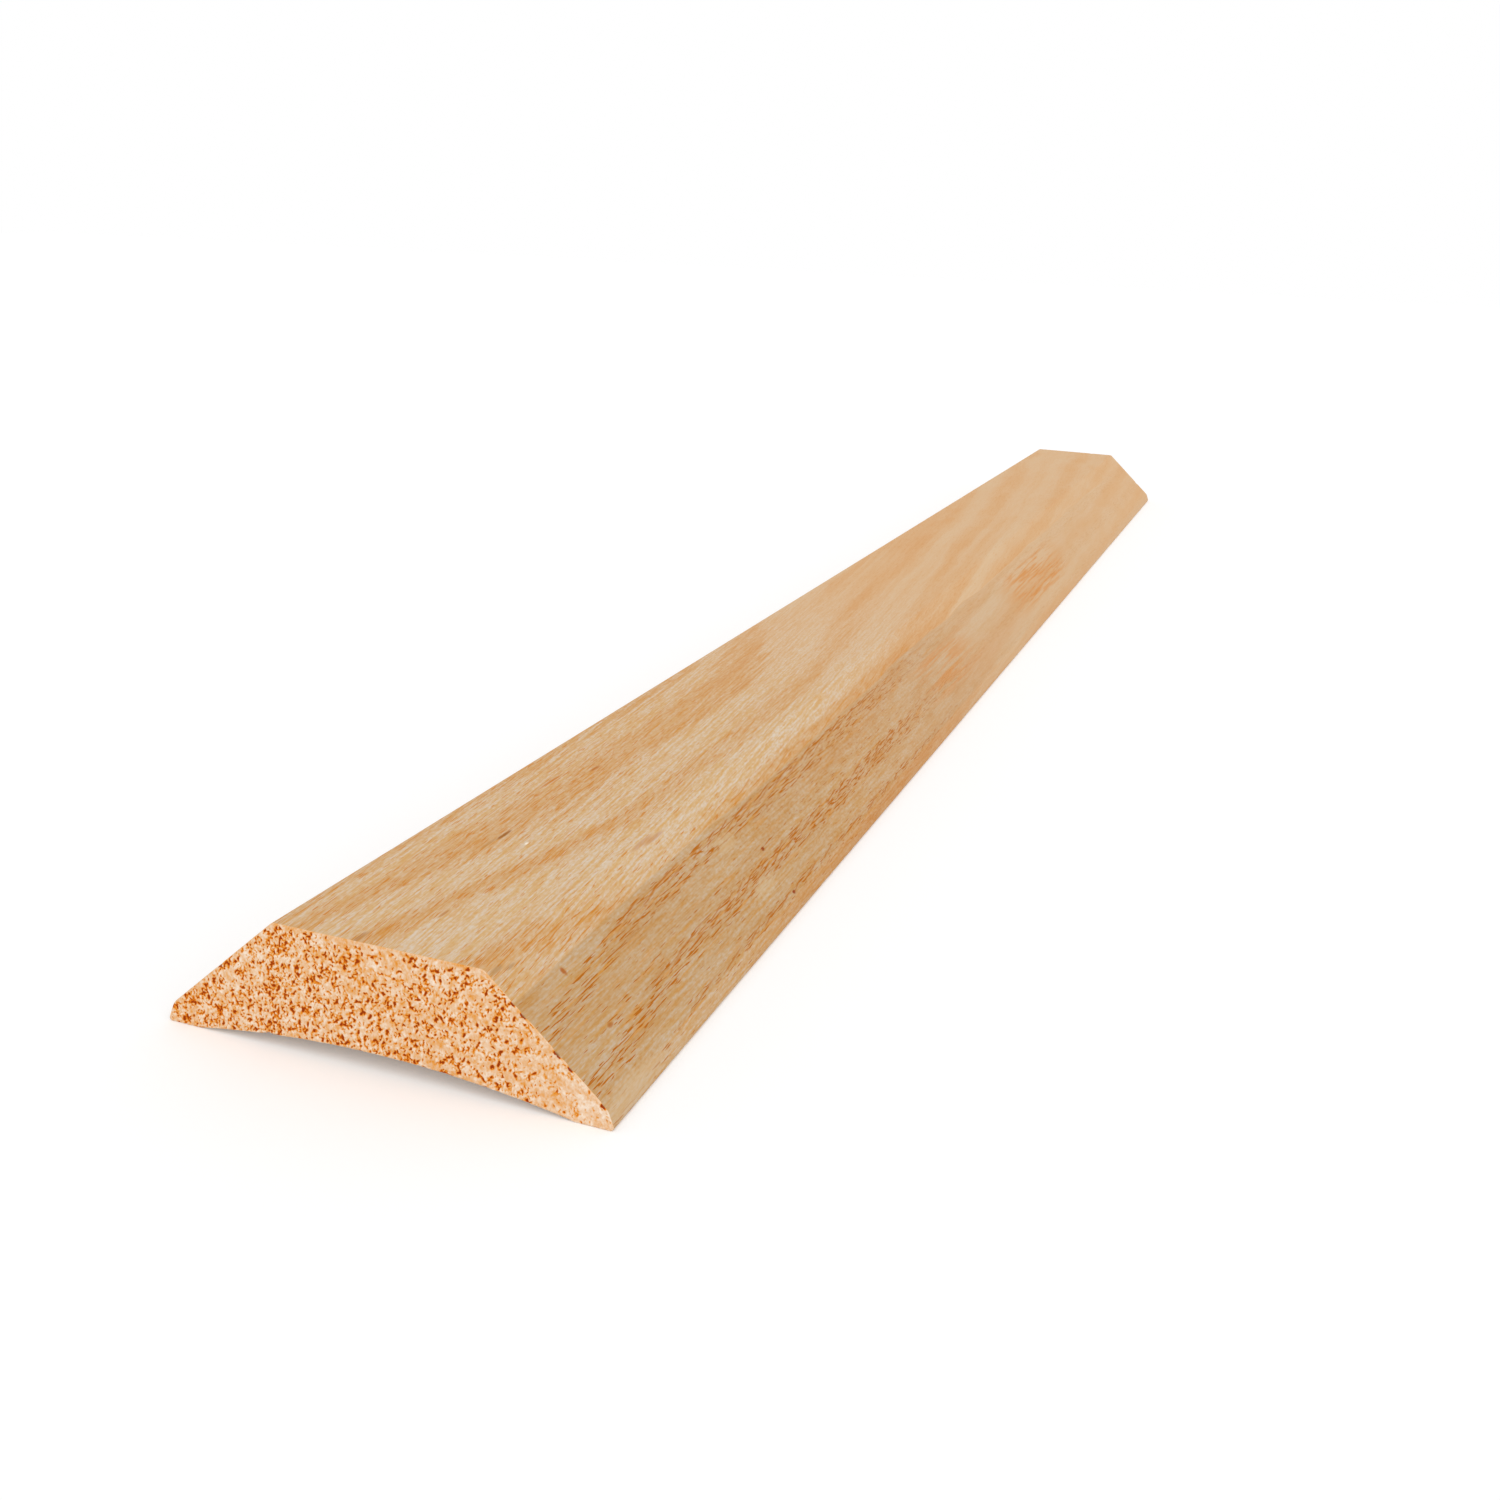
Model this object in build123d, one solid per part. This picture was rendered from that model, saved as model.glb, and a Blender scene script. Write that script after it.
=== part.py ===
from build123d import *
import os

# Bumper threshold: one length of moulded hardwood for a door opening.
# The strip lies flat on the floor, as it does in use: +X along it, +Y across it and +Z up.
# The origin is on the floor under the middle of the strip. All sizes are millimetres.

# Driving dimensions of the strip, measured to its corners before they are eased
length = 914.4        # 36 in, for a standard door opening
width = 114.3         # across the two feet, 4 1/2 in
thickness = 31.0      # floor to tread, 1 1/4 in stock planed on both faces
tread_width = 52.8    # flat top between the two bevels
lip_height = 4.9      # blunt edge along each foot
lip_lean = 1.8        # how far each lip leans in at its top
pad_width = 9.0       # flat bearing strip under each foot
relief_depth = 4.4    # rise of the hollow back at the middle of the strip

# Eased edges
arris_radius = 2.0    # between the tread and each bevel
nose_radius = 5.0     # between each bevel and its lip
toe_radius = 0.8      # between each lip and its bearing pad

# Corners of the section on its +Y side, as (across, up); the other side mirrors them
hollow_corner = (width / 2 - pad_width, 0)
toe_corner = (width / 2, 0)
nose_corner = (width / 2 - lip_lean, lip_height)
arris_corner = (tread_width / 2, thickness)


# The same corner on the other side of the section.
def mirrored(corner):
    across, up = corner
    return (-across, up)


# The closed outline across the strip: bearing pads, lips, bevels, tread and hollow back.
def section_outline():
    one_side = [hollow_corner, toe_corner, nose_corner, arris_corner]
    other_side = [mirrored(corner) for corner in reversed(one_side)]
    hollow_top = (0, relief_depth)
    with BuildLine() as outline:
        Polyline(*one_side, *other_side)
        ThreePointArc(mirrored(hollow_corner), hollow_top, hollow_corner)
    return outline.line


# A corner of the section's outline and its mirror image, as they stand in the sketch.
def corner_pair(section, corner):
    return [section.vertices().sort_by_distance(place)[0] for place in (corner, mirrored(corner))]


# The section as a face in its own plane, with its arrises, noses and toes eased.
def threshold_section():
    with BuildSketch() as section:
        add(section_outline())
        make_face()
        fillet(corner_pair(section, arris_corner), arris_radius)
        fillet(corner_pair(section, nose_corner), nose_radius)
        fillet(corner_pair(section, toe_corner), toe_radius)
    return section.sketch


# The strip: its section run along X, half the length to each side of the origin.
def threshold():
    across_the_strip = Plane(origin=(0, 0, 0), x_dir=(0, 1, 0), z_dir=(1, 0, 0))
    strip = extrude(across_the_strip * threshold_section(), amount=length / 2, both=True)
    strip.label = "threshold"
    return strip


os.makedirs("parts", exist_ok=True)
export_step(threshold(), "parts/threshold.step")
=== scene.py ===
import math

import bpy
import numpy as np
from mathutils import Matrix, Vector, geometry, kdtree


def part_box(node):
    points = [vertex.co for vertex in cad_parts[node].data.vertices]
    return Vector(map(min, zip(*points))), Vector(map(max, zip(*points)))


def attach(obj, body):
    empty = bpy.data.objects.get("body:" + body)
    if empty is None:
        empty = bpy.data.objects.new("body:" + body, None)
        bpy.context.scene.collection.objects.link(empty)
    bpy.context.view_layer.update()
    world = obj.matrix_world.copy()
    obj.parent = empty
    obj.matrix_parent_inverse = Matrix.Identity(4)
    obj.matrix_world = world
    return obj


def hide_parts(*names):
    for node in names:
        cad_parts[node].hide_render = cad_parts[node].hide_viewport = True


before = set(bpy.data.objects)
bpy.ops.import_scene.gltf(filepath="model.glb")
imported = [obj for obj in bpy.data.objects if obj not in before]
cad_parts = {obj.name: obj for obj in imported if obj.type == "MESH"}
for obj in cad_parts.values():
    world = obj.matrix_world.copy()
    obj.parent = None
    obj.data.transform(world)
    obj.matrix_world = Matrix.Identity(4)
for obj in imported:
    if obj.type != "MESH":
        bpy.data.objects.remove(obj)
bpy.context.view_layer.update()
print("frame loaded")

mm = 0.001


# the strip's section and how finely it is meshed, in metres
stripShape = {
    "name": "threshold_strip",
    "toeReach": 57.15 * mm,      # half the width, to the toe's corner before easing
    "toeRadius": 0.8 * mm,
    "noseReach": 55.35 * mm,     # top of the lip
    "noseHeight": 4.9 * mm,
    "noseRadius": 5.0 * mm,
    "treadReach": 26.4 * mm,     # half the tread
    "arrisRadius": 2.0 * mm,
    "hollowReach": 48.15 * mm,   # half the hollow back
    "hollowRise": 4.4 * mm,
    "cornerPoints": 12,          # points on each rounded corner, and on half the hollow
    "hollowPoints": 60,
    "faceStep": 0.46 * mm,       # spacing round the tread, bevels and lips
    "hollowStep": 0.95 * mm,
    "endRings": (0.0, 0.45, 0.9, 1.4, 2.0, 2.8, 3.9, 5.4, 7.5, 10.5, 14.5, 20.0),   # mm from each end
    "midStep": 10.0 * mm,
    "endEase": 0.16 * mm,        # how far the sawn edges are rubbed back
    "nearPitch": 0.30 * mm,      # spacing of the points on the near end
    "farPitch": 0.42 * mm,
    "rowShare": 0.87,            # their rows lie this share of the spacing apart
    "jitter": 0.22,              # and each point is moved by up to this share
    "edgeClear": 0.7,            # room to the edge, in spacings, with more at the top and the toes
    "topClear": 1.4,
    "toeClear": 1.6,
    "riseSlack": 1.001,          # room for rounding
    "reachSlack": 1.0001,
    "heightSlack": 1e-6,
    "sharpAngle": 62.0,          # degrees
    "seed": 7,
}


# points of a rounded corner, from the leg that comes in to the leg that goes out
def roundedCorner(before, corner, after, radius, pieces):
    before, corner, after = (np.array(p) for p in (before, corner, after))
    inLeg = (before - corner) / np.linalg.norm(before - corner)
    outLeg = (after - corner) / np.linalg.norm(after - corner)
    half = math.acos(float(inLeg @ outLeg)) / 2
    middle = (inLeg + outLeg) / np.linalg.norm(inLeg + outLeg)
    centre = corner + middle * radius / math.sin(half)
    first = corner + inLeg * radius / math.tan(half) - centre
    last = corner + outLeg * radius / math.tan(half) - centre
    start = math.atan2(first[1], first[0])
    turn = (math.atan2(last[1], last[0]) - start + math.pi) % (2 * math.pi) - math.pi
    angles = start + turn * np.linspace(0, 1, pieces)
    return [centre + radius * np.array((math.cos(a), math.sin(a))) for a in angles]


# distance of each point along a line of points
def reachAlong(points):
    return np.concatenate([[0], np.cumsum(np.linalg.norm(np.diff(points, axis=0), axis=1))])


# evenly spaced points along a line of points, without the last one
def evenPoints(points, step):
    points = np.array(points)
    reach = reachAlong(points)
    count = max(2, round(reach[-1] / step))
    stops = np.linspace(0, reach[-1], count + 1)[:-1]
    return np.stack([np.interp(stops, reach, points[:, axis]) for axis in (0, 1)], axis=1)


# the section as a loop of (across, up) points, from the middle of the hollow round by +Y and back
def sectionLoop(shape, thickness):
    hollow = (shape["hollowReach"], 0.0)
    toe = (shape["toeReach"], 0.0)
    nose = (shape["noseReach"], shape["noseHeight"])
    arris = (shape["treadReach"], thickness)
    middle = (0.0, thickness)
    pieces = shape["cornerPoints"]
    side = [np.array(hollow)]
    side += roundedCorner(hollow, toe, nose, shape["toeRadius"], pieces)
    side += roundedCorner(toe, nose, arris, shape["noseRadius"], pieces)
    side += roundedCorner(nose, arris, middle, shape["arrisRadius"], pieces)
    flip = np.array((-1.0, 1.0))
    over = side + [point * flip for point in reversed(side)]

    # the hollow back is one arc
    rise, reach = shape["hollowRise"], shape["hollowReach"]
    radius = (reach * reach + rise * rise) / (2 * rise)
    angles = np.linspace(0, math.asin(reach / radius), shape["hollowPoints"])
    under = np.stack([radius * np.sin(angles), rise - radius * (1 - np.cos(angles))], axis=1)
    firstHalf = evenPoints(under, shape["hollowStep"])
    lastHalf = evenPoints((under * flip)[::-1], shape["hollowStep"])
    return np.concatenate([firstHalf, evenPoints(over, shape["faceStep"]), lastHalf])


# distance of each loop point from the middle of the tread, measured round the section
def runRound(loop):
    reach = reachAlong(np.concatenate([loop, loop[:1]]))
    return reach[-1] / 2 - reach


# unit vectors that point out of the section at each loop point
def outwardAt(loop):
    along = np.roll(loop, -1, axis=0) - np.roll(loop, 1, axis=0)
    out = np.stack([along[:, 1], -along[:, 0]], axis=1)
    return out / np.linalg.norm(out, axis=1)[:, None]


# places of the rings along the strip, close together at the ends
def ringPlaces(shape, low, high):
    near = low + np.array(shape["endRings"]) * mm
    far = high - np.array(shape["endRings"])[::-1] * mm
    count = max(2, round((far[0] - near[-1]) / shape["midStep"]))
    return np.concatenate([near, np.linspace(near[-1], far[0], count + 1)[1:-1], far])


# the lower side of the section as two rows of numbers, for interpolation
def bottomLine(shape, loop):
    low = loop[loop[:, 1] <= shape["hollowRise"] * shape["riseSlack"]]
    under = low[abs(low[:, 0]) <= shape["hollowReach"] * shape["reachSlack"]]
    under = under[np.argsort(under[:, 0])]
    edge = shape["toeReach"]
    across = np.concatenate([[-edge], under[:, 0], [edge]])
    return across, np.concatenate([[0.0], under[:, 1], [0.0]])


# jittered points that fill the section, kept clear of its edge
def fillPoints(shape, loop, pitch, draw):
    bottom = bottomLine(shape, loop)
    upper = loop[loop[:, 1] > np.interp(loop[:, 0], *bottom) + shape["heightSlack"]]
    upper = upper[np.argsort(upper[:, 0])]
    reach = loop[:, 0].max()
    across = np.arange(-reach, reach, pitch)
    up = np.arange(0, loop[:, 1].max(), pitch * shape["rowShare"])
    grid = np.stack(np.meshgrid(across, up), axis=-1)
    grid[1::2, :, 0] += pitch / 2
    jitter = draw.uniform(-shape["jitter"], shape["jitter"], (grid.size // 2, 2))
    points = grid.reshape(-1, 2) + jitter * pitch
    clear = pitch * shape["edgeClear"]
    below = np.interp(points[:, 0], upper[:, 0], upper[:, 1]) - points[:, 1]
    above = points[:, 1] - np.interp(points[:, 0], *bottom)
    inside = (below > clear * shape["topClear"]) & (above > clear)
    inside &= abs(points[:, 0]) < reach - clear * shape["toeClear"]
    return points[inside]


# torn pores on the sawn ends, and pale tufts beside them: torn fibre, and a painted highlight on the lit
# side of each pit
endGrain = {
    # half lengths and half widths in mm; a bend puts a pale tuft beside each mark, a painted highlight on
    # the pit's lit side, which makes it a crescent
    "big": {"count": 470, "lobes": 3, "spread": 0.26 * mm, "length": (0.50, 1.10), "width": (0.25, 0.43),
            "strength": (0.55, 1.0), "bend": 1.5},
    "small": {"count": 5000, "lobes": 1, "spread": 0.1 * mm, "length": (0.28, 0.70), "width": (0.18, 0.32),
              "strength": (0.25, 0.9), "bend": 1.5},
    # pale tufts of torn fibre on their own, also painted pale like highlights
    "tuftAndHighlight": {"count": 2200, "lobes": 1, "spread": 0.1 * mm, "length": (0.40, 1.15), "width": (0.20, 0.38),
             "strength": (0.3, 1.0), "bend": 0},
    "lean": (112.0, 38.0),        # degrees from +Y, and how much it varies
    "ovalReach": 1.9,             # each oval is worked out this many half lengths away
    "ovalFall": 1.1,
    "tuftHighlightSize": (0.8, 1.1),       # length and width of the pale tuft and painted highlight beside a mark, as shares of the mark's
    "tuftHighlightShare": 0.9,             # and its strength
    "tuftHighlightOver": 0.25,             # how much a tuft's painted highlight hides of a pore
    "bigDepth": 0.26 * mm,
    "smallDepth": 0.16 * mm,
    "tuftLift": 0.10 * mm,
    "recess": 0.14 * mm,          # the plain surface lies this far inside the strip's end
    "leastDepth": 0.01 * mm,
    "ringPitch": 5.2 * mm,        # rows of pores between smoother bands
    "ringSlope": 0.13,            # rows fall towards -Y
    "ringBow": 1.6,               # bow of the rows, per metre
    "bandCut": 0.2,               # more makes the smooth bands narrower
    "bandTop": 0.5,
    "smoothFrom": 16 * mm,        # the bands grow smoother from here towards -Y
    "smoothOver": 36 * mm,
    "smoothRange": (0.1, 0.8),
    "plainTop": 0.4 * mm,         # a plain strip lies under the tread
    "plainFade": 1.0 * mm,
    "plainLeast": 0.05,
    "footTip": 57 * mm,           # fewer and fainter marks towards the tip of the foot at -Y
    "footFade": 24 * mm,
    "footCrowd": 0.7,
    "footStrength": 0.72,
    "patchSize": 7.0 * mm,        # marks gather in patches about this wide
    "patchRange": (0.6, 1.6),
    "patchWaves": 7,
    "patchDepth": 0.16,
    "patchLimits": (0.3, 1.8),
}


# height of the growth rows at a place on the end
def ringHeight(across, up):
    return up - endGrain["ringSlope"] * across + endGrain["ringBow"] * across * across


# 1 on most of the end, less towards the tip of the foot at -Y
def footShare(across, least):
    return np.clip((across + endGrain["footTip"]) / endGrain["footFade"], least, 1.0)


# how crowded the marks are at a place: thin on the foot, in the smooth bands and under the tread
def crowding(across, up, thickness, draw):
    look = endGrain
    toTread = thickness - look["plainTop"] - up
    underTread = np.clip(toTread / look["plainFade"], look["plainLeast"], 1.0)
    phase = ringHeight(across, up) / look["ringPitch"]
    band = np.clip(-look["bandCut"] - np.cos(2 * math.pi * phase), 0, look["bandTop"]) / look["bandTop"]
    smooth = band * np.clip((look["smoothFrom"] - across) / look["smoothOver"], *look["smoothRange"])
    patches = np.zeros(len(across))
    for turn, shift in draw.uniform(0, 2 * math.pi, (look["patchWaves"], 2)):
        wave = 2 * math.pi / (look["patchSize"] * draw.uniform(*look["patchRange"]))
        patches += np.cos(wave * (across * math.cos(turn) + up * math.sin(turn)) + shift)
    gathered = np.clip(1 + look["patchDepth"] * patches, *look["patchLimits"])
    return footShare(across, look["footCrowd"]) * underTread * (1 - smooth) * gathered


# lays the marks' soft ovals over the points of an end; where they overlap, the strongest counts
def stampMarks(tree, points, places, lengths, widths, leans, strengths):
    values = np.zeros(len(points))
    for place, length, width, lean, strength in zip(places, lengths, widths, leans, strengths):
        found = tree.find_range((place[0], place[1], 0.0), float(length) * endGrain["ovalReach"])
        near = [index for _, index, _ in found]
        if not near:
            continue
        offset = points[near] - place
        along = (offset[:, 0] * math.cos(lean) + offset[:, 1] * math.sin(lean)) / length
        beside = (offset[:, 1] * math.cos(lean) - offset[:, 0] * math.sin(lean)) / width
        oval = strength * np.exp(-(along ** 2 + beside ** 2) * endGrain["ovalFall"])
        values[near] = np.maximum(values[near], oval)
    return values


# pore strength and pale tuft strength, partly a painted highlight, at each point of an end, and how deep it
# lies
def endMarks(points, thickness, draw):
    look = endGrain
    tree = kdtree.KDTree(len(points))
    for index, (across, up) in enumerate(points):
        tree.insert((across, up, 0.0), index)
    tree.balance()
    crowded = crowding(points[:, 0], points[:, 1], thickness, draw)
    chance = crowded / crowded.sum()

    # ovals of one kind, and the pale tufts beside them, painted as highlights on the pits' lit side
    def marks(kind):
        chosen = np.repeat(draw.choice(len(points), kind["count"], p=chance), kind["lobes"])
        count = len(chosen)
        places = points[chosen] + draw.normal(0, kind["spread"], (count, 2))
        lengths = draw.uniform(*kind["length"], count) * mm
        widths = draw.uniform(*kind["width"], count) * mm
        leans = np.radians(draw.normal(*look["lean"], count))
        strengths = draw.uniform(*kind["strength"], count) * footShare(places[:, 0], look["footStrength"])
        ovals = stampMarks(tree, points, places, lengths, widths, leans, strengths)
        if not kind["bend"]:
            return ovals, np.zeros(len(points))
        aside = np.stack([-np.sin(leans), np.cos(leans)], axis=1) * (widths * kind["bend"])[:, None]
        long, wide = look["tuftHighlightSize"]
        tuftsAndHighlights = stampMarks(tree, points, places + aside, lengths * long, widths * wide, leans, strengths)
        return ovals, tuftsAndHighlights

    big, bigTuftHighlight = marks(look["big"])
    small, smallTuftHighlight = marks(look["small"])
    tuftAndHighlight, _ = marks(look["tuftAndHighlight"])
    tuftAndHighlight = np.maximum(np.maximum(bigTuftHighlight, smallTuftHighlight) * look["tuftHighlightShare"], tuftAndHighlight)
    pore = np.clip(np.maximum(big, small) - tuftAndHighlight * look["tuftHighlightOver"], 0, 1)
    depth = np.maximum(big * look["bigDepth"], small * look["smallDepth"]) - tuftAndHighlight * look["tuftLift"]
    return pore, tuftAndHighlight, np.maximum(depth + look["recess"], look["leastDepth"])


# one sawn end: its edge points and those inside, its faces, and the marks on it
def sawnFace(shape, edge, pitch, thickness, draw):
    points = np.concatenate([edge, fillPoints(shape, edge, pitch, draw)])
    border = [(i, (i + 1) % len(edge)) for i in range(len(edge))]
    spots = [Vector(p) for p in points]
    insideOnly, closeness = 1, 1e-9
    flat, _, faces, *_ = geometry.delaunay_2d_cdt(spots, border, [], insideOnly, closeness)
    if len(flat) != len(points):
        raise RuntimeError("a sawn end gained or lost points")
    return points, np.array(faces), *endMarks(points, thickness, draw)


# small breaks along the edges of the sawn ends
edgeBreaks = {
    "darkness": 1.25,
    # end, mm across, mm up, radius and depth in mm
    "places": (
        ("near", -33.4, 24.7, 0.7, 0.40),
        ("near", -35.9, 22.4, 0.9, 0.55),
        ("near", -43.8, 15.3, 1.1, 0.60),
        ("near", -46.9, 12.5, 0.8, 0.45),
        ("near", -54.6, 5.6, 0.8, 0.40),
        ("near", 29.1, 2.75, 1.3, 0.55),
        ("near", 41.2, 17.6, 0.7, 0.35),
        ("far", 38.0, 20.5, 1.0, 0.50),
        ("far", -12.0, 31.0, 0.8, 0.35),
        ("far", -47.0, 12.4, 0.9, 0.45),
    ),
}


# the whole strip as one closed mesh, with its two material slots
def buildStrip(shape):
    low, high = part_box("threshold")
    thickness = high[2] - low[2]
    draw = np.random.default_rng(shape["seed"])
    loop = sectionLoop(shape, thickness)
    outward = outwardAt(loop)
    rings = ringPlaces(shape, low[0], high[0])
    around = len(loop)

    place = np.zeros((len(rings), around, 3))
    place[:, :, 0] = rings[:, None]
    place[:, :, 1:] = loop[None]
    place[(0, -1), :, 1:] -= outward[None] * shape["endEase"]

    # ends: their edge points are the first or last ring, and the others follow all the rings
    pore = np.zeros((len(rings), around))
    tuftAndHighlight = np.zeros((len(rings), around))
    inner, innerPore, innerTuftHighlight, endFaces = [], [], [], []
    start = len(rings) * around
    for end, ring, inward in (("near", 0, 1), ("far", -1, -1)):
        edge, pitch = place[ring, :, 1:].copy(), shape[end + "Pitch"]
        points, faces, poreHere, tuftHighlightHere, depth = sawnFace(shape, edge, pitch, thickness, draw)
        atX = rings[ring] + inward * depth
        place[ring, :, 0] = atX[:around]
        pore[ring], tuftAndHighlight[ring] = poreHere[:around], tuftHighlightHere[:around]
        inner.append(np.column_stack([atX, points])[around:])
        innerPore.append(poreHere[around:])
        innerTuftHighlight.append(tuftHighlightHere[around:])
        ringStart = ring % len(rings) * around
        index = np.concatenate([ringStart + np.arange(around), start + np.arange(len(inner[-1]))])
        endFaces.append(index[faces][:, ::-inward])
        start += len(inner[-1])
        print(f"{end} end: {len(points)} points, {len(faces)} faces")

    for end, across, up, radius, depth in edgeBreaks["places"]:
        atEnd = rings[0] if end == "near" else rings[-1]
        away = place - np.array((atEnd, across * mm, up * mm))
        fall = np.exp(-(np.linalg.norm(away, axis=2) / (radius * mm)) ** 2)
        place[:, :, 1:] -= outward[None] * (fall * depth * mm)[:, :, None]
        pore = np.maximum(pore, fall * edgeBreaks["darkness"])

    ring, step = np.meshgrid(np.arange(len(rings) - 1), np.arange(around), indexing="ij")
    here = ring * around + step
    beside = ring * around + (step + 1) % around
    quads = np.stack([here, beside, beside + around, here + around], axis=-1).reshape(-1, 4)
    sawn = np.concatenate(endFaces)
    vertices = np.concatenate([place.reshape(-1, 3), *inner])

    mesh = bpy.data.meshes.new(shape["name"])
    mesh.from_pydata(vertices.tolist(), [], quads.tolist() + sawn.tolist())
    mesh.polygons.foreach_set("use_smooth", np.ones(len(mesh.polygons), bool))
    rim = (ring == 0) | (ring == len(rings) - 2)
    slots = np.concatenate([rim.ravel(), np.ones(len(sawn), bool)]).astype(np.int32)
    mesh.polygons.foreach_set("material_index", slots)
    for name, onRings, inside in (("pore", pore, innerPore), ("tuftAndHighlight", tuftAndHighlight, innerTuftHighlight)):
        values = np.concatenate([onRings.ravel(), *inside])
        layer = mesh.attributes.new(name, "FLOAT", "POINT")
        layer.data.foreach_set("value", values.astype(np.float32))
    layGrain(mesh, rings, runRound(loop), ring, step, endFaces, vertices)
    mesh.set_sharp_from_angle(angle=math.radians(shape["sharpAngle"]))
    mesh.validate()
    mesh.update()
    print(f"strip: {len(vertices)} points, {2 * len(quads) + len(sawn)} triangles")
    return mesh


# where the long faces and the ends lie on the bake map, as shares of its side
bakeMap = {
    # share of half the girth, place
    "longRows": ((-1.0, 0.16), (-0.622, 0.29), (0.622, 0.86), (1.0, 0.99)),
    "margin": 0.004,
    "endWidth": 0.48,
    "endHeight": 0.14,
    "farStart": 0.51,
}


# two maps: grainRun in metres along and round the strip, and an even map for baking
def layGrain(mesh, rings, run, ring, step, endFaces, vertices):
    length = rings[-1] - rings[0]
    alongA = (rings[ring] - rings[0]).ravel()
    alongB = (rings[ring + 1] - rings[0]).ravel()
    roundA, roundB = run[step].ravel(), run[step + 1].ravel()
    along = np.stack([alongA, alongA, alongB, alongB], axis=1).ravel()
    across = np.stack([roundA, roundB, roundB, roundA], axis=1).ravel()
    ends = vertices[np.concatenate(endFaces).ravel()]
    grain = np.concatenate([np.column_stack([along, across]), ends[:, 1:]])

    shares, rows = zip(*bakeMap["longRows"])
    margin = bakeMap["margin"]
    bakeLong = np.column_stack([
        margin + along / length * (1 - 2 * margin),
        np.interp(across / run[0], shares, rows),
    ])
    reach, height = stripShape["toeReach"], vertices[:, 2].max()
    bakeEnds = np.column_stack([
        margin + (ends[:, 1] + reach) / (2 * reach) * bakeMap["endWidth"],
        margin + ends[:, 2] / height * bakeMap["endHeight"],
    ])
    bakeEnds[endFaces[0].size:, 0] += bakeMap["farStart"]
    for name, places in (("grainRun", grain), ("OFBake", np.concatenate([bakeLong, bakeEnds]))):
        layer = mesh.uv_layers.new(name=name)
        layer.data.foreach_set("uv", places.astype(np.float32).ravel())
    mesh.uv_layers.active = mesh.uv_layers["grainRun"]


# a colour given as it looks on screen, 0 to 255, turned into Blender's own numbers
def paint(red, green, blue):
    return tuple(((c / 255 + 0.055) / 1.055) ** 2.4 for c in (red, green, blue)) + (1.0,)


# the nodes of a material or of the world, with short ways to add to them
class PatternBench:
    def __init__(self, owner):
        owner.use_nodes = True
        self.owner = owner
        self.nodes = owner.node_tree.nodes
        self.links = owner.node_tree.links
        self.nodes.clear()

    def put(self, kind, feeds=None, **settings):
        node = self.nodes.new(kind)
        for key, value in settings.items():
            setattr(node, key, value)
        for socket, value in (feeds or {}).items():
            self.feed(node.inputs[socket], value)
        return node

    def feed(self, socket, value):
        if isinstance(value, bpy.types.NodeSocket):
            self.links.new(value, socket)
        else:
            socket.default_value = value

    def calc(self, operation, *values):
        return self.put("ShaderNodeMath", dict(enumerate(values)), operation=operation).outputs[0]

    def total(self, *values):
        result = values[0]
        for value in values[1:]:
            result = self.calc("ADD", result, value)
        return result

    def times(self, *values):
        result = values[0]
        for value in values[1:]:
            result = self.calc("MULTIPLY", result, value)
        return result

    def minus(self, first, second):
        return self.calc("SUBTRACT", first, second)

    # how far a value lies from its middle, made larger or smaller
    def swing(self, value, by):
        return self.times(self.minus(value, 0.5), by)

    # one value passing into another
    def blend(self, share, first, second):
        return self.total(self.times(self.minus(1.0, share), first), self.times(share, second))

    # a value between two limits, eased from one result to the other
    def ease(self, value, low, high, toLow=0.0, toHigh=1.0):
        feeds = dict(enumerate((value, low, high, toLow, toHigh)))
        return self.put("ShaderNodeMapRange", feeds, interpolation_type="SMOOTHSTEP", clamp=True).outputs[0]

    # noise about 0.5, so many times to the metre each way
    def noise(self, x, y, z, perX, perY, detail=2.0, roughness=0.5):
        place = self.put("ShaderNodeCombineXYZ", {0: self.times(x, perX), 1: self.times(y, perY), 2: z})
        feeds = {"Vector": place.outputs[0], "Scale": 1.0, "Detail": detail, "Roughness": roughness}
        return self.put("ShaderNodeTexNoise", feeds).outputs[0]

    def ramp(self, value, stops, easing="LINEAR"):
        node = self.put("ShaderNodeValToRGB", {0: value})
        node.color_ramp.interpolation = easing
        points = node.color_ramp.elements
        while len(points) < len(stops):
            points.new(1.0)
        for point, (where, colour) in zip(points, stops):
            point.position = where
            point.color = colour if isinstance(colour, tuple) else (colour, colour, colour, 1.0)
        return node.outputs[0]

    # an eased ramp over a distance: pairs of a distance and a value
    def rampOver(self, distance, pairs, unit):
        low, high = pairs[0][0] * unit, pairs[-1][0] * unit
        share = self.calc("DIVIDE", self.minus(distance, low), high - low)
        stops = [((where * unit - low) / (high - low), value) for where, value in pairs]
        return self.ramp(share, stops, "EASE")

    def mix(self, share, first, second, way="MIX"):
        feeds = {0: share, 6: first, 7: second}   # 6 and 7 are its colour sockets
        return self.put("ShaderNodeMix", feeds, data_type="RGBA", blend_type=way).outputs[2]

    # a value that the mesh keeps at its points
    def kept(self, name):
        return self.put("ShaderNodeAttribute", attribute_name=name).outputs["Fac"]

    # 1 where the camera, a reflection or a clear thing sees the surface, 0 for the light it gives
    def seen(self):
        path = self.put("ShaderNodeLightPath").outputs
        mirrored = self.calc("MAXIMUM", path["Is Glossy Ray"], path["Is Transmission Ray"])
        return self.calc("MAXIMUM", path["Is Camera Ray"], mirrored)

    def finish(self, look, colour, height):
        strength, distance = look["bump"]
        bump = self.put("ShaderNodeBump", {"Strength": strength, "Distance": distance, "Height": height})
        wood = self.put("ShaderNodeBsdfPrincipled", {
            "Base Color": colour,
            "Roughness": look["roughness"],
            "Normal": bump.outputs[0],
            "Specular IOR Level": look["gloss"],
        })
        self.put("ShaderNodeOutputMaterial", {"Surface": wood.outputs[0]})
        return self.owner


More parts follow.
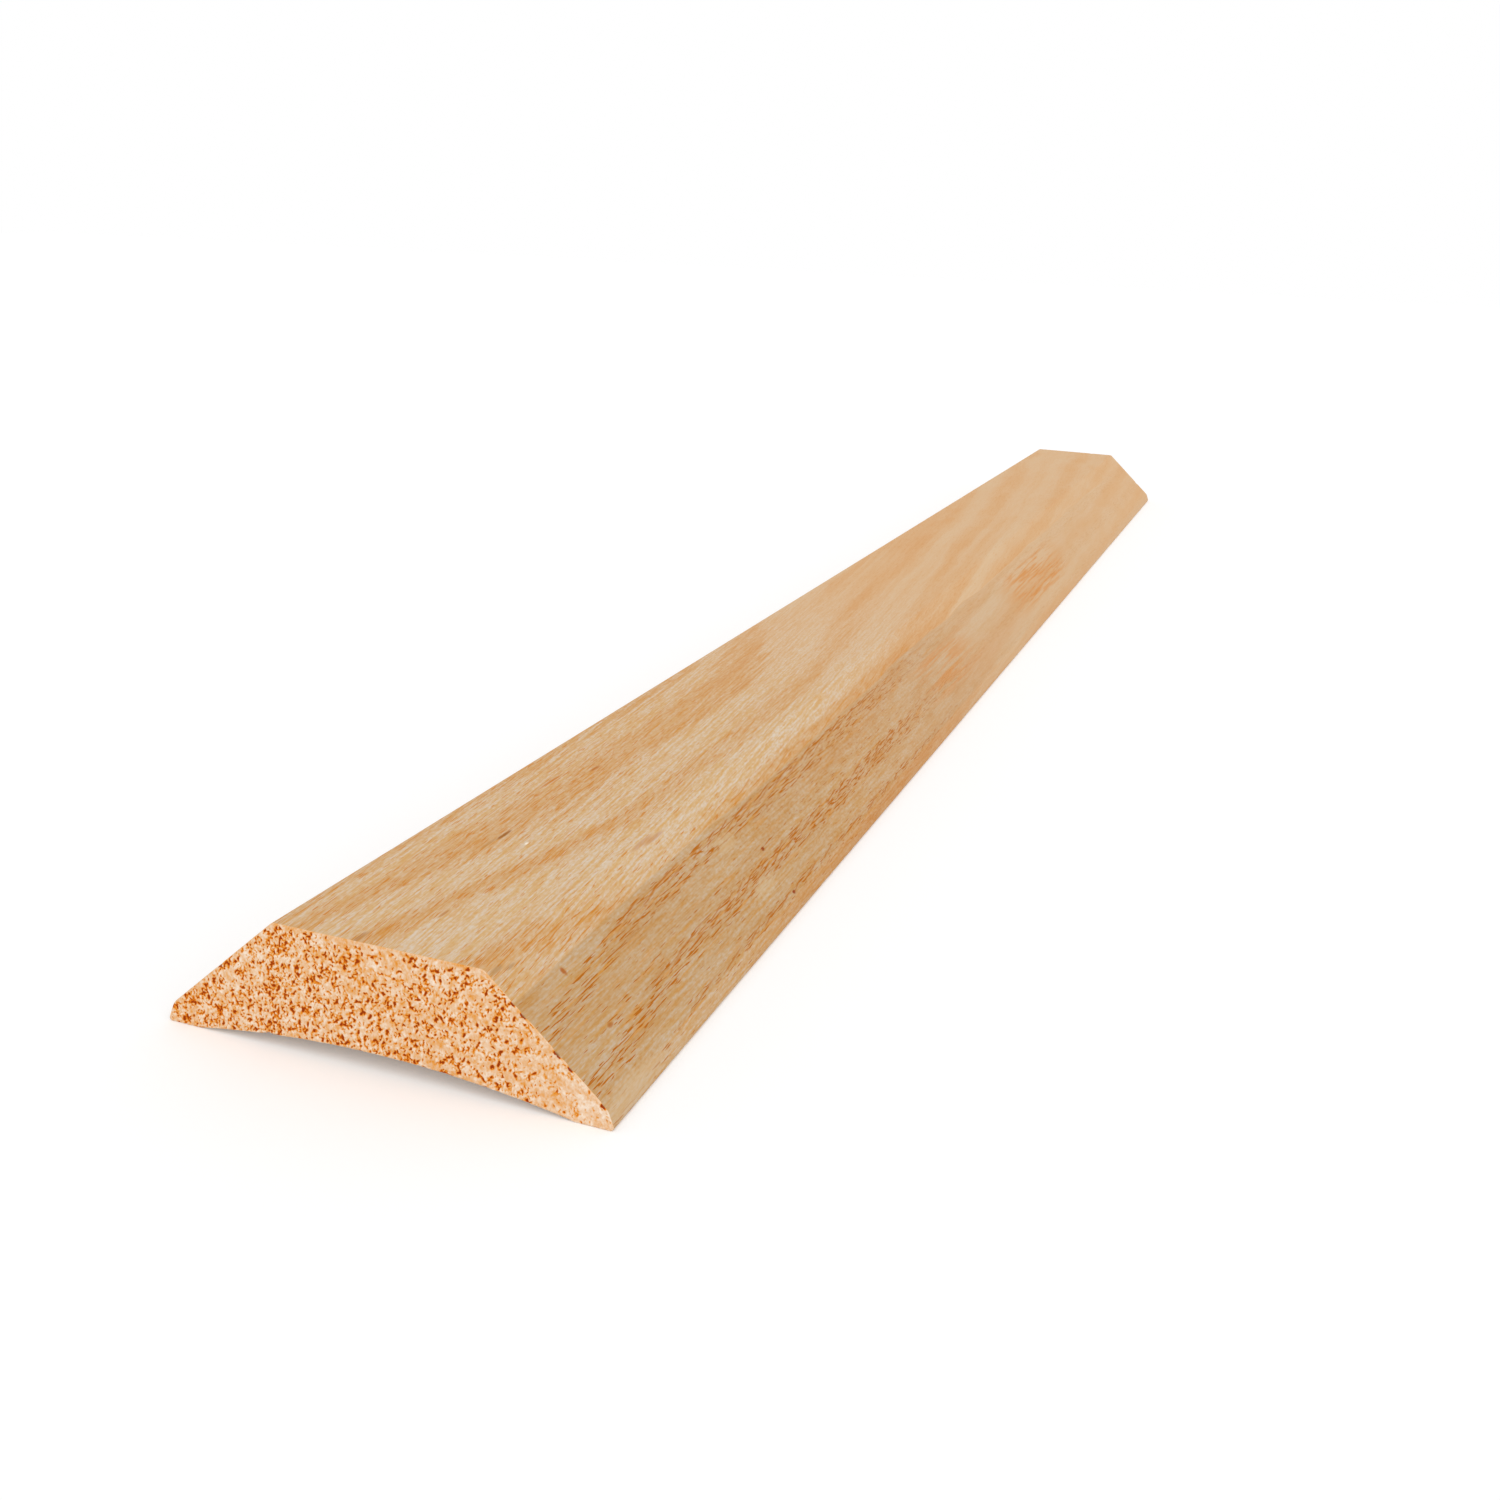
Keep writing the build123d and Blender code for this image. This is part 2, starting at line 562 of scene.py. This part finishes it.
# planed faces: streaks, fibres and pores that run along the strip
# a fade is from and to in metres from the near end, then its value before and after
planedLook = {
    # each noise: its own layer, how many to the metre along and across, detail, roughness
    "noises": {
        "ragged": (6.0, 14, 20),
        "wander": (0.0, 6, 25),
        "threads": (9.0, 75, 1250, 2.0, 0.7),
        "hairs": (4.0, 20, 620, 3.0, 0.62),
        "grit": (21.0, 560, 1500, 1.0, 0.6),
        "thinLines": (5.1, 2.2, 230),
        "waver": (8.0, 9, 16),
        "farStreaks": (1.7, 1.6, 105, 2.0, 0.55),
        "patchy": (2.5, 24, 90),
        "mottle": (3.3, 34, 170, 3.0, 0.6),
        "lines": (14.0, 55, 1050, 2.0, 0.6),
        "flecks": (17.0, 260, 1700, 1.0),
        "dashes": (12.0, 150, 2300, 1.0),
        "sway": (31.0, 18, 25, 1.0),
    },
    "fibreSlant": 0.07,              # fibres slant over the tread
    "wanderBy": 1.5 * mm,
    "featherBy": 7 * mm,             # hairs feather the edges of streaks and rows
    "farFeather": 0.6,
    "thinFeather": 0.3,
    "rowFeather": 0.4,

    # streaks on the tread
    "sweepDrop": 21.5 * mm,          # they fall this far across the tread near the end
    "sweepSpan": (-20 * mm, 105 * mm),
    "edgeKeep": (25 * mm, 8 * mm),   # streaks by the +Y arris keep their place
    "riseSlope": 0.085,              # past riseStart they rise again
    "riseStart": 0.22,
    "riseSpan": (0.16, 0.34),
    "bevelRise": 0.4,
    "waverBy": 14 * mm,
    "farTones": (0.32, 0.68, 0.12, 0.86),
    "nearStreakFade": (0.26, 0.44, 0.90, 0.0),
    # tone of the streaks across the tread at the near end: (mm from its middle, tone)
    "streaks": (
        (-30, 0.38), (-22, 0.14), (-16, 0.58), (-9, 0.80), (-2, 0.70), (1.5, 0.34), (4.2, 0.12),
        (6.4, 0.20), (9.0, 0.58), (13, 0.76), (17.0, 0.56), (19.4, 0.12), (21.4, 0.22), (23.2, 0.58),
        (25, 0.20), (29, 0.34),
    ),

    # tones of the tread
    "treadMiddle": 0.5,
    "contrastFade": (0.14, 0.26, 0.72, 0.86),
    "contrastLoss": (0.42, 0.65, 0.0, -0.42),
    "hairFade": (0.08, 0.20, 0.48, 0.20),
    "patchyFade": (0.3, 0.6, 0.16, 0.5),
    "thinStart": (0.08, 0.20),       # thin long lines along the middle stretch
    "thinFade": (0.40, 0.60, 0.55, 0.0),
    "warmth": 0.26,                  # the pale strips are warmer on this stretch
    "warmStart": (0.06, 0.12),
    "warmFade": (0.28, 0.45, 1.0, 0.0),
    "warmDown": (3 * mm, 7 * mm),
    "topStops": (
        (0.0, paint(208, 154, 97)),
        (0.22, paint(214, 179, 140)),
        (0.5, paint(219, 196, 171)),
        (0.78, paint(221, 202, 181)),
        (1.0, paint(223, 206, 187)),
    ),
    "farSpan": (0.15, 0.44),         # softer towards the far end
    "farStops": (
        (0.0, paint(216, 160, 102)),
        (0.35, paint(219, 175, 127)),
        (0.65, paint(220, 184, 143)),
        (1.0, paint(222, 192, 155)),
    ),

    # tones of the bevels, below a pale strip along their top
    "bevelStart": 9.4 * mm,
    "raggedBy": 5 * mm,
    "stripEdge": 0.35 * mm,
    "bevelMiddle": 0.60,
    "bevelRows": -0.18,
    "bevelHairs": 0.6,
    "bevelMottle": 0.95,
    "lipFade": (38.2 * mm, 39.6 * mm, 1.0, 0.3),   # down the bevel
    "bevelStops": (
        (0.0, paint(182, 120, 54)),
        (0.25, paint(196, 158, 113)),
        (0.5, paint(201, 172, 139)),
        (0.78, paint(205, 181, 154)),
        (1.0, paint(210, 187, 162)),
    ),
    # how dark the bevel is along the strip: (m from the near end, share)
    "bevelFade": (
        (0.0, 1.0), (0.13, 0.95), (0.22, 0.70), (0.31, 0.74), (0.40, 0.42), (0.55, 0.22), (0.9, 0.05),
    ),
    # rows of open pores down the bevel: (mm from the arris, strength)
    "poreRows": (
        (0, 0.0), (9.4, 0.05), (11.2, 0.85), (12.4, 0.6), (14.8, 0.85), (17.0, 0.25), (20.5, 0.15),
        (22.6, 0.55), (24.4, 0.25), (26.2, 0.75), (29.6, 0.85), (32.0, 0.25), (35.5, 0.15), (37.4, 0.7),
        (40.0, 0.4),
    ),
    "rowDrop": 5.4 * mm,             # the rows start this far lower at the near end
    "rowSpan": (0.0, 60 * mm),
    "rowRagged": 0.35,

    # orange patches: from and to along the strip, from and to down the bevel, strength
    "patches": ((0.28, 0.40, 13 * mm, 35 * mm, 0.7), (0.45, 0.62, 11 * mm, 36 * mm, 0.9)),
    "patchSoft": (0.06, 5 * mm, 6 * mm),           # soft edges: along, at the top, at the foot
    "patchHairs": (0.43, 0.60),
    "patchColour": paint(215, 147, 76),

    # fibres tint the wood paler or more orange
    "tintFade": (0.16, 0.46, 1.0, 0.18),
    "tintMix": (0.75, 0.45, -0.1),   # threads, hairs, shift
    "tintSpan": (0.36, 0.64),
    "threadPale": (1.0, 1.03, 1.07, 1.0),
    "threadOrange": (0.955, 0.755, 0.44, 1.0),
    "gritSpan": (0.34, 0.66),
    "gritPale": (1.0, 1.02, 1.045, 1.0),
    "gritOrange": (0.975, 0.86, 0.66, 1.0),

    # fine lines, pale flecks of painted sheen on the fibres, and open pores, with most of them in the
    # orange streaks
    "orangeTones": (0.2, 0.75, 1.0, 0.0),
    "lineSpan": (0.55, 0.66),
    "lineShare": (0.20, 0.55),       # everywhere, and more in the orange
    "lineColour": paint(211, 143, 54),
    "fleckSpan": (0.63, 0.76),
    "fleckShare": (0.20, 0.15),      # on the tread, on the bevel
    "sheenFleckColour": paint(238, 216, 186),
    "poreSoft": 0.04,
    "poreShare": (0.9, 1.0),
    "treadPores": (0.0, 1.0, 0.66, 0.585),         # orange from and to, noise level for a pore
    "bevelPores": (0.2, 0.9, 0.70, 0.545),
    "treadPoreFade": (0.09, 0.26, 1.0, 0.3),
    "bevelPoreFade": (0.20, 0.36, 1.0, 0.15),
    "dashColour": paint(207, 132, 46),
    "poreColour": paint(184, 104, 4),

    # seams of pores along the bevel, in short slanting strokes
    "seams": (                       # mm from the arris, strength, strokes in a metre
        (11.1, 0.9, 62.0), (12.2, 0.6, 83.0), (26.4, 0.75, 71.0), (27.6, 0.6, 94.0), (37.6, 0.7, 66.0),
    ),
    "swayBy": 4.0,
    "strokeSlant": 1.5 * mm,
    "strokeFray": 0.8 * mm,
    "strokeWidth": (0.04 * mm, 0.32 * mm),
    "strokeStart": (0.0, 0.2),       # shares of a stroke
    "strokeFade": (0.55, 1.0, 1.0, 0.0),
    "seamStart": (0.03, 0.065),
    "seamFade": (0.22, 0.32, 1.0, 0.0),

    # single marks: mm from the near end and from the middle of the tread, half length, half width,
    # strength, colour
    "marks": (
        (67.5, 6.2, 3.6, 0.6, 0.85, paint(152, 86, 6)),
        (61.0, 6.9, 4.0, 0.6, 0.35, paint(170, 118, 60)),
        (65.0, -1.6, 0.9, 0.4, 0.9, paint(250, 238, 220)),
        (20.5, -4.8, 2.2, 0.4, 0.7, paint(186, 116, 36)),
        (2.0, 5.2, 4.0, 0.8, 0.6, paint(174, 110, 34)),
        (109.0, 14.0, 6.5, 0.5, 0.9, paint(202, 118, 2)),
        (123.0, 7.9, 3.4, 0.6, 0.85, paint(190, 104, 0)),
        (79.0, -27.0, 7.0, 0.7, 0.5, paint(190, 122, 60)),
        (85.0, -27.9, 6.0, 0.6, 0.5, paint(190, 122, 60)),
        (3.5, -28.1, 3.0, 0.7, 0.45, paint(160, 112, 52)),
        (7.5, -29.4, 2.2, 0.5, 0.45, paint(158, 108, 48)),
        (20.2, -37.8, 0.8, 1.2, 0.85, paint(176, 92, 2)),
        (20.0, -53.3, 1.2, 0.7, 0.7, paint(176, 96, 6)),
        (124.0, -49.8, 1.0, 0.6, 1.0, paint(150, 62, 0)),
        (121.0, -64.4, 1.0, 0.6, 1.0, paint(150, 60, 0)),
        (10.0, -67.0, 20.0, 3.2, 0.55, paint(212, 181, 140)),
        (111.0, -41.6, 7.0, 2.6, 0.5, paint(212, 182, 140)),
        (111.0, -57.4, 8.0, 2.6, 0.5, paint(212, 182, 140)),
    ),
    "markFray": (2.5, 1.5),          # by the hairs, by the grit
    "markSoft": 1.5,

    "brokenTones": (0.45, 1.0, 0.0, 0.85),         # breaks at the sawn edges are dark
    "brokenColour": paint(128, 82, 42),
    "bumpMix": (-0.4, 0.5, 0.3),     # pores, threads, hairs
    "bump": (0.35, 0.12 * mm),       # strength, height
    "roughness": 0.62,
    "gloss": 0.12,
}


# where fibres, rows and streaks lie on the planed faces, and how they colour the wood
class PlanedBench(PatternBench):
    def __init__(self, look):
        super().__init__(bpy.data.materials.new("planed_hardwood"))
        self.look = look
        grain = self.put("ShaderNodeUVMap", uv_map="grainRun")
        split = self.put("ShaderNodeSeparateXYZ", {0: grain.outputs[0]})
        self.along, self.across = split.outputs[0], split.outputs[1]
        fromMiddle = self.calc("ABSOLUTE", self.across)
        self.down = self.minus(fromMiddle, stripShape["treadReach"])   # distance down a bevel
        self.layFibres()
        self.layRows()
        self.tone = self.treadTone()
        self.orange = self.blend(self.belowStrip, self.ease(self.tone, *look["orangeTones"]), self.rows)
        self.tinted = self.fade("tintFade")

    # a fade along the strip, by its name in the look
    def fade(self, name):
        return self.ease(self.along, *self.look[name])

    # one of the look's noises, over the strip or along a line of its own
    def field(self, name, line=None):
        line = self.across if line is None else line
        return self.noise(self.along, line, *self.look["noises"][name])

    # noise drawn out along the fibres
    def fibreField(self, name):
        slanting, straight = self.field(name, self.slantLine), self.field(name, self.fibreLine)
        return self.blend(self.belowStrip, slanting, straight)

    # fibres run straight along the bevels and at a slight slant over the tread
    def layFibres(self):
        look = self.look
        self.ragged = self.swing(self.field("ragged"), look["raggedBy"])
        underStrip = self.minus(self.total(self.down, self.ragged), look["bevelStart"])
        self.belowStrip = self.ease(underStrip, -look["stripEdge"], look["stripEdge"])
        self.fibreLine = self.total(self.across, self.swing(self.field("wander"), look["wanderBy"]))
        self.slantLine = self.minus(self.fibreLine, self.times(self.along, look["fibreSlant"]))
        self.threads = self.fibreField("threads")
        self.hairs = self.fibreField("hairs")
        self.grit = self.fibreField("grit")
        self.feather = self.swing(self.hairs, look["featherBy"])

    # rows of open pores along each bevel
    def layRows(self):
        look = self.look
        drop = self.ease(self.along, *look["rowSpan"], -look["rowDrop"], 0.0)
        self.rowPlace = self.total(self.down, self.times(self.ragged, look["rowRagged"]), drop)
        feathered = self.total(self.rowPlace, self.times(self.feather, look["rowFeather"]))
        self.rows = self.rampOver(feathered, look["poreRows"], mm)

    # streaks on the tread sweep across it by the near end, and then rise along it
    def treadStreaks(self, rise):
        look = self.look
        sweep = self.ease(self.along, *look["sweepSpan"], 0.0, -look["sweepDrop"])
        free = self.minus(self.across, sweep)
        edge, fall = look["edgeKeep"]
        held = self.calc("DIVIDE", self.minus(self.across, self.times(sweep, edge / fall)),
                         self.minus(1.0, self.calc("DIVIDE", sweep, fall)))
        nearLine = self.total(self.minus(self.calc("MINIMUM", free, held), rise), self.feather)
        nearStreaks = self.rampOver(nearLine, look["streaks"], mm)

        farRise = self.times(rise, self.blend(self.belowStrip, 1.0, look["bevelRise"]))
        waver = self.swing(self.field("waver"), look["waverBy"])
        farFeather = self.times(self.feather, look["farFeather"])
        farLine = self.total(self.minus(self.across, farRise), farFeather, waver)
        farStreaks = self.ease(self.field("farStreaks", farLine), *look["farTones"])
        return self.blend(self.fade("nearStreakFade"), farStreaks, nearStreaks)

    # how pale the tread is: 0 is the most orange
    def treadTone(self):
        look = self.look
        rise = self.times(self.minus(self.along, look["riseStart"]),
                          self.ease(self.along, *look["riseSpan"], 0.0, look["riseSlope"]))
        thinFeather = self.times(self.feather, look["thinFeather"])
        thinLine = self.total(self.minus(self.across, rise), thinFeather)
        thinShare = self.times(self.fade("thinStart"), self.fade("thinFade"))
        contrast = self.total(self.fade("contrastFade"), self.fade("contrastLoss"))
        tone = self.total(
            look["treadMiddle"],
            self.swing(self.treadStreaks(rise), contrast),
            self.swing(self.hairs, self.fade("hairFade")),
            self.swing(self.field("patchy"), self.fade("patchyFade")),
            self.swing(self.field("thinLines", thinLine), thinShare),
        )
        warmDown = self.ease(self.down, *look["warmDown"])
        warm = self.times(self.fade("warmStart"), self.fade("warmFade"), warmDown, look["warmth"])
        return self.minus(tone, warm)

    # the wood's own colour on the tread and the bevels
    def plainColour(self):
        look = self.look
        near, far = (self.ramp(self.tone, look[stops]) for stops in ("topStops", "farStops"))
        tread = self.mix(self.fade("farSpan"), near, far)
        bevelTone = self.total(
            look["bevelMiddle"],
            self.times(self.rows, look["bevelRows"]),
            self.swing(self.hairs, look["bevelHairs"]),
            self.swing(self.field("mottle", self.fibreLine), look["bevelMottle"]),
        )
        dark = self.rampOver(self.along, look["bevelFade"], 1.0)
        share = self.times(self.belowStrip, dark, self.ease(self.down, *look["lipFade"]))
        return self.mix(share, tread, self.ramp(bevelTone, look["bevelStops"]))

    # orange patches well along each bevel
    def addPatches(self, colour):
        look = self.look
        softAlong, softTop, softFoot = look["patchSoft"]
        hairy = self.ease(self.hairs, *look["patchHairs"])
        for low, high, top, foot, strength in look["patches"]:
            lengthwise = self.times(self.ease(self.along, low, low + softAlong),
                                    self.ease(self.along, high - softAlong, high, 1.0, 0.0))
            crosswise = self.times(self.ease(self.down, top, top + softTop),
                                   self.ease(self.down, foot - softFoot, foot, 1.0, 0.0))
            patch = self.times(lengthwise, crosswise, hairy, strength)
            colour = self.mix(patch, colour, look["patchColour"])
        return colour

    def addTint(self, colour):
        look = self.look
        threadShare, hairShare, shift = look["tintMix"]
        fibres = self.total(self.times(self.threads, threadShare), self.times(self.hairs, hairShare), shift)
        coarse = self.mix(self.ease(fibres, *look["tintSpan"]), look["threadPale"], look["threadOrange"])
        fine = self.mix(self.ease(self.grit, *look["gritSpan"]), look["gritPale"], look["gritOrange"])
        tint = self.mix(1.0, coarse, fine, "MULTIPLY")
        return self.mix(self.tinted, colour, self.mix(1.0, colour, tint, "MULTIPLY"))

    # fine orange lines, and pale flecks that paint sheen on the fibres
    def addLines(self, colour):
        look = self.look
        everywhere, more = look["lineShare"]
        share = self.total(everywhere, self.times(self.orange, more))
        lines = self.times(self.ease(self.fibreField("lines"), *look["lineSpan"]), share, self.tinted)
        colour = self.mix(lines, colour, look["lineColour"])
        share = self.blend(self.belowStrip, *look["fleckShare"])
        # pale flecks along the fibres: painted sheen
        flecks = self.times(self.ease(self.fibreField("flecks"), *look["fleckSpan"]), share, self.tinted)
        return self.mix(flecks, colour, look["sheenFleckColour"])

    def openPores(self):
        look = self.look
        onTread, onBevel = (self.ease(self.orange, *look[level]) for level in ("treadPores", "bevelPores"))
        limit = self.blend(self.belowStrip, onTread, onBevel)
        dim = self.blend(self.belowStrip, self.fade("treadPoreFade"), self.fade("bevelPoreFade"))
        dashes = self.ease(self.minus(self.fibreField("dashes"), limit), 0.0, look["poreSoft"])
        return self.times(dashes, self.blend(self.belowStrip, *look["poreShare"]), dim)

    def addSeams(self, colour):
        look = self.look
        sway = self.times(self.field("sway"), look["swayBy"])
        stretch = self.times(self.fade("seamStart"), self.fade("seamFade"), self.belowStrip)
        fray = self.swing(self.threads, look["strokeFray"])
        for place, strength, perMetre in look["seams"]:
            stroke = self.calc("FRACT", self.total(self.times(self.along, perMetre), sway, place))
            slant = self.swing(stroke, look["strokeSlant"])
            off = self.calc("ABSOLUTE", self.total(self.rowPlace, slant, -place * mm, fray))
            tapered = self.times(self.ease(stroke, *look["strokeStart"]),
                                 self.ease(stroke, *look["strokeFade"]))
            seam = self.times(self.ease(off, *look["strokeWidth"], strength, 0.0), tapered, stretch)
            colour = self.mix(seam, colour, look["poreColour"])
        return colour

    # single marks, with their edges frayed by the fibres
    def addMarks(self, colour):
        look = self.look
        byHairs, byGrit = look["markFray"]
        fray = self.total(self.swing(self.hairs, byHairs), self.swing(self.grit, byGrit))
        for x, y, halfLength, halfWidth, strength, markColour in look["marks"]:
            lengthwise = self.calc("DIVIDE", self.minus(self.along, x * mm), halfLength * mm)
            crosswise = self.calc("DIVIDE", self.minus(self.across, y * mm), halfWidth * mm)
            away = self.total(self.times(lengthwise, lengthwise), self.times(crosswise, crosswise), fray)
            colour = self.mix(self.ease(away, 0.0, look["markSoft"], strength, 0.0), colour, markColour)
        return colour


def planedHardwood():
    look = planedLook
    bench = PlanedBench(look)
    colour = bench.addPatches(bench.plainColour())
    colour = bench.addLines(bench.addTint(colour))
    pores = bench.openPores()
    colour = bench.mix(pores, colour, bench.mix(bench.belowStrip, look["dashColour"], look["poreColour"]))
    colour = bench.addMarks(bench.addSeams(colour))
    colour = bench.mix(bench.ease(bench.kept("pore"), *look["brokenTones"]), colour, look["brokenColour"])
    parts = zip((pores, bench.threads, bench.hairs), look["bumpMix"])
    height = bench.total(*(bench.times(part, share) for part, share in parts))
    print("planed hardwood mixed")
    return bench.finish(look, colour, height)


# sawn ends: pale peach wood, speckled with torn pores, with painted highlights beside the pits and painted
# shading on the small lumps
sawnLook = {
    # each noise: how many to the metre across and up, detail, roughness
    "wobbleNoise": (60, 60),
    "cloudNoise": (260, 260, 3.0, 0.6),
    "lumpNoise": (950, 700, 2.0, 0.7),
    "gritNoise": (1700, 1300, 2.0, 0.65),
    "wobbleBy": 2.2,
    "bandShare": 0.03,            # growth rows show as faint bands
    "cloudShare": 0.4,
    "lumpToneAndShade": 0.95,
    "footSpan": (-52 * mm, -36 * mm, 0.10, 0.0),   # paler on the foot at -Y
    "tornGrit": 0.4,              # the grit breaks up the pores
    "tornSpan": (0.08, 0.80),
    "plainTone": 0.59,
    "poreDrop": -0.88,
    "tuftHighlightRise": 0.38,
    # from the bottom of the deepest pores to the palest tufts
    "toneStops": (
        (0.0, paint(158, 58, 2)),
        (0.14, paint(213, 102, 4)),
        (0.30, paint(230, 140, 30)),
        (0.46, paint(234, 166, 90)),
        # from the bottom of the deepest pores to the palest tufts and painted highlights
        (0.60, paint(236, 187, 138)),
        (0.76, paint(241, 206, 171)),
        (1.0, paint(250, 230, 209)),
    ),
    "bumpMix": (0.4, 0.7, -0.4, 0.4),   # grit, lumps, pores, tufts
    "bump": (0.5, 0.18 * mm),     # strength, height
    "roughness": 0.78,
    "gloss": 0.08,
}


def sawnEnds():
    look = sawnLook
    bench = PatternBench(bpy.data.materials.new("sawn_end_grain"))
    total, times, swing = bench.total, bench.times, bench.swing
    spot = bench.put("ShaderNodeTexCoord")
    split = bench.put("ShaderNodeSeparateXYZ", {0: spot.outputs["Object"]})
    along, across, up = split.outputs
    rows = [look[name] for name in ("wobbleNoise", "cloudNoise", "lumpNoise", "gritNoise")]
    wobble, cloud, lumps, grit = (bench.noise(across, up, along, *row) for row in rows)

    rowPlace = total(up, times(across, -endGrain["ringSlope"]), times(across, across, endGrain["ringBow"]))
    rowTurn = total(times(rowPlace, 2 * math.pi / endGrain["ringPitch"]), times(wobble, look["wobbleBy"]))
    bands = bench.calc("SINE", rowTurn)
    torn = bench.ease(total(bench.kept("pore"), swing(grit, look["tornGrit"])), *look["tornSpan"])
    tuftAndHighlight = bench.kept("tuftAndHighlight")
    tone = total(
        look["plainTone"],
        times(bands, look["bandShare"]),
        swing(cloud, look["cloudShare"]),
        # the lumps' tone follows their bump height, paler where raised and darker where low: the wood's own
        # tone with painted shading of the torn surface
        swing(lumps, look["lumpToneAndShade"]),
        bench.ease(across, *look["footSpan"]),
        times(torn, look["poreDrop"]),
        # the pale tufts raise the tone: torn fibre, and painted highlights on the lit side of the pits
        times(tuftAndHighlight, look["tuftHighlightRise"]),
    )
    height = total(*(times(part, share) for part, share in zip((grit, lumps, torn, tuftAndHighlight), look["bumpMix"])))
    print("sawn ends mixed")
    return bench.finish(look, bench.ramp(tone, look["toneStops"]), height)


def addToScene(name, data):
    thing = bpy.data.objects.new(name, data)
    bpy.context.scene.collection.objects.link(thing)
    return thing


def makeStrip():
    mesh = buildStrip(stripShape)
    mesh.materials.append(planedHardwood())
    mesh.materials.append(sawnEnds())
    strip = addToScene(stripShape["name"], mesh)
    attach(strip, "root")
    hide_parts("threshold")
    print("strip made")


# pale floor, soft light and a white surround
studio = {
    "floorHalf": 6.0,
    "floorColour": (0.90, 0.90, 0.90, 1.0),
    "floorGlow": 0.16,            # seen but giving no light, so that the floor reads as white
    "skyColour": (1.0, 1.0, 1.0, 1.0),
    "skyLight": 0.74,
    "skySeen": 1.0,               # white where it is seen
    "keyPower": 0.95,
    "keySpread": 70.0,            # degrees
    "keyFrom": (-0.75, -0.45, 0.95),
}


def makeFloor():
    half = studio["floorHalf"]
    corners = [(-half, -half, 0), (half, -half, 0), (half, half, 0), (-half, half, 0)]
    mesh = bpy.data.meshes.new("studio_floor")
    mesh.from_pydata(corners, [], [(0, 1, 2, 3)])
    bench = PatternBench(bpy.data.materials.new("studio_floor"))
    paper = bench.put("ShaderNodeBsdfDiffuse", {"Color": studio["floorColour"]})
    glow = bench.put("ShaderNodeEmission", {"Strength": bench.times(bench.seen(), studio["floorGlow"])})
    both = bench.put("ShaderNodeAddShader", {0: paper.outputs[0], 1: glow.outputs[0]})
    bench.put("ShaderNodeOutputMaterial", {"Surface": both.outputs[0]})
    mesh.materials.append(bench.owner)
    floor = addToScene("studio_floor", mesh)


def makeLight():
    world = bpy.data.worlds.new("studio_surround")
    bpy.context.scene.world = world
    bench = PatternBench(world)
    strength = bench.blend(bench.seen(), studio["skyLight"], studio["skySeen"])
    sky = bench.put("ShaderNodeBackground", {"Color": studio["skyColour"], "Strength": strength})
    bench.put("ShaderNodeOutputWorld", {"Surface": sky.outputs[0]})

    key = bpy.data.lights.new("soft_key", "SUN")
    key.energy = studio["keyPower"]
    key.angle = math.radians(studio["keySpread"])
    lamp = addToScene("soft_key", key)
    lamp.location = studio["keyFrom"]
    lamp.rotation_euler = Vector(studio["keyFrom"]).to_track_quat("Z", "Y").to_euler()


# the camera stands low at the near end, a little to the right of the strip
viewPoint = {
    "place": (-0.70992, -0.1747, 0.17983),
    "heading": 19.8423,   # degrees from +X towards +Y
    "dip": 18.7713,       # degrees below level
    "roll": 2.4548,
    "lens": 36.954,       # mm
    "sensor": 36.0,
    "clip": (0.01, 50.0),
}


def makeCamera():
    heading, dip, roll = (math.radians(viewPoint[key]) for key in ("heading", "dip", "roll"))
    ahead = Vector((math.cos(dip) * math.cos(heading), math.cos(dip) * math.sin(heading), -math.sin(dip)))
    level = ahead.cross(Vector((0, 0, 1))).normalized()
    upright = level.cross(ahead)
    right = level * math.cos(roll) + upright * math.sin(roll)
    up = upright * math.cos(roll) - level * math.sin(roll)
    camera = bpy.data.cameras.new("photo_view")
    camera.sensor_width = viewPoint["sensor"]
    camera.lens = viewPoint["lens"]
    camera.clip_start, camera.clip_end = viewPoint["clip"]
    eye = addToScene("photo_view", camera)
    turn = Matrix((right, up, -ahead)).transposed()
    eye.matrix_world = Matrix.Translation(viewPoint["place"]) @ turn.to_4x4()
    bpy.context.scene.camera = eye


makeStrip()
makeFloor()
makeLight()
makeCamera()
bpy.context.scene.view_settings.view_transform = "Standard"
print("studio ready")

bpy.context.view_layer.update()
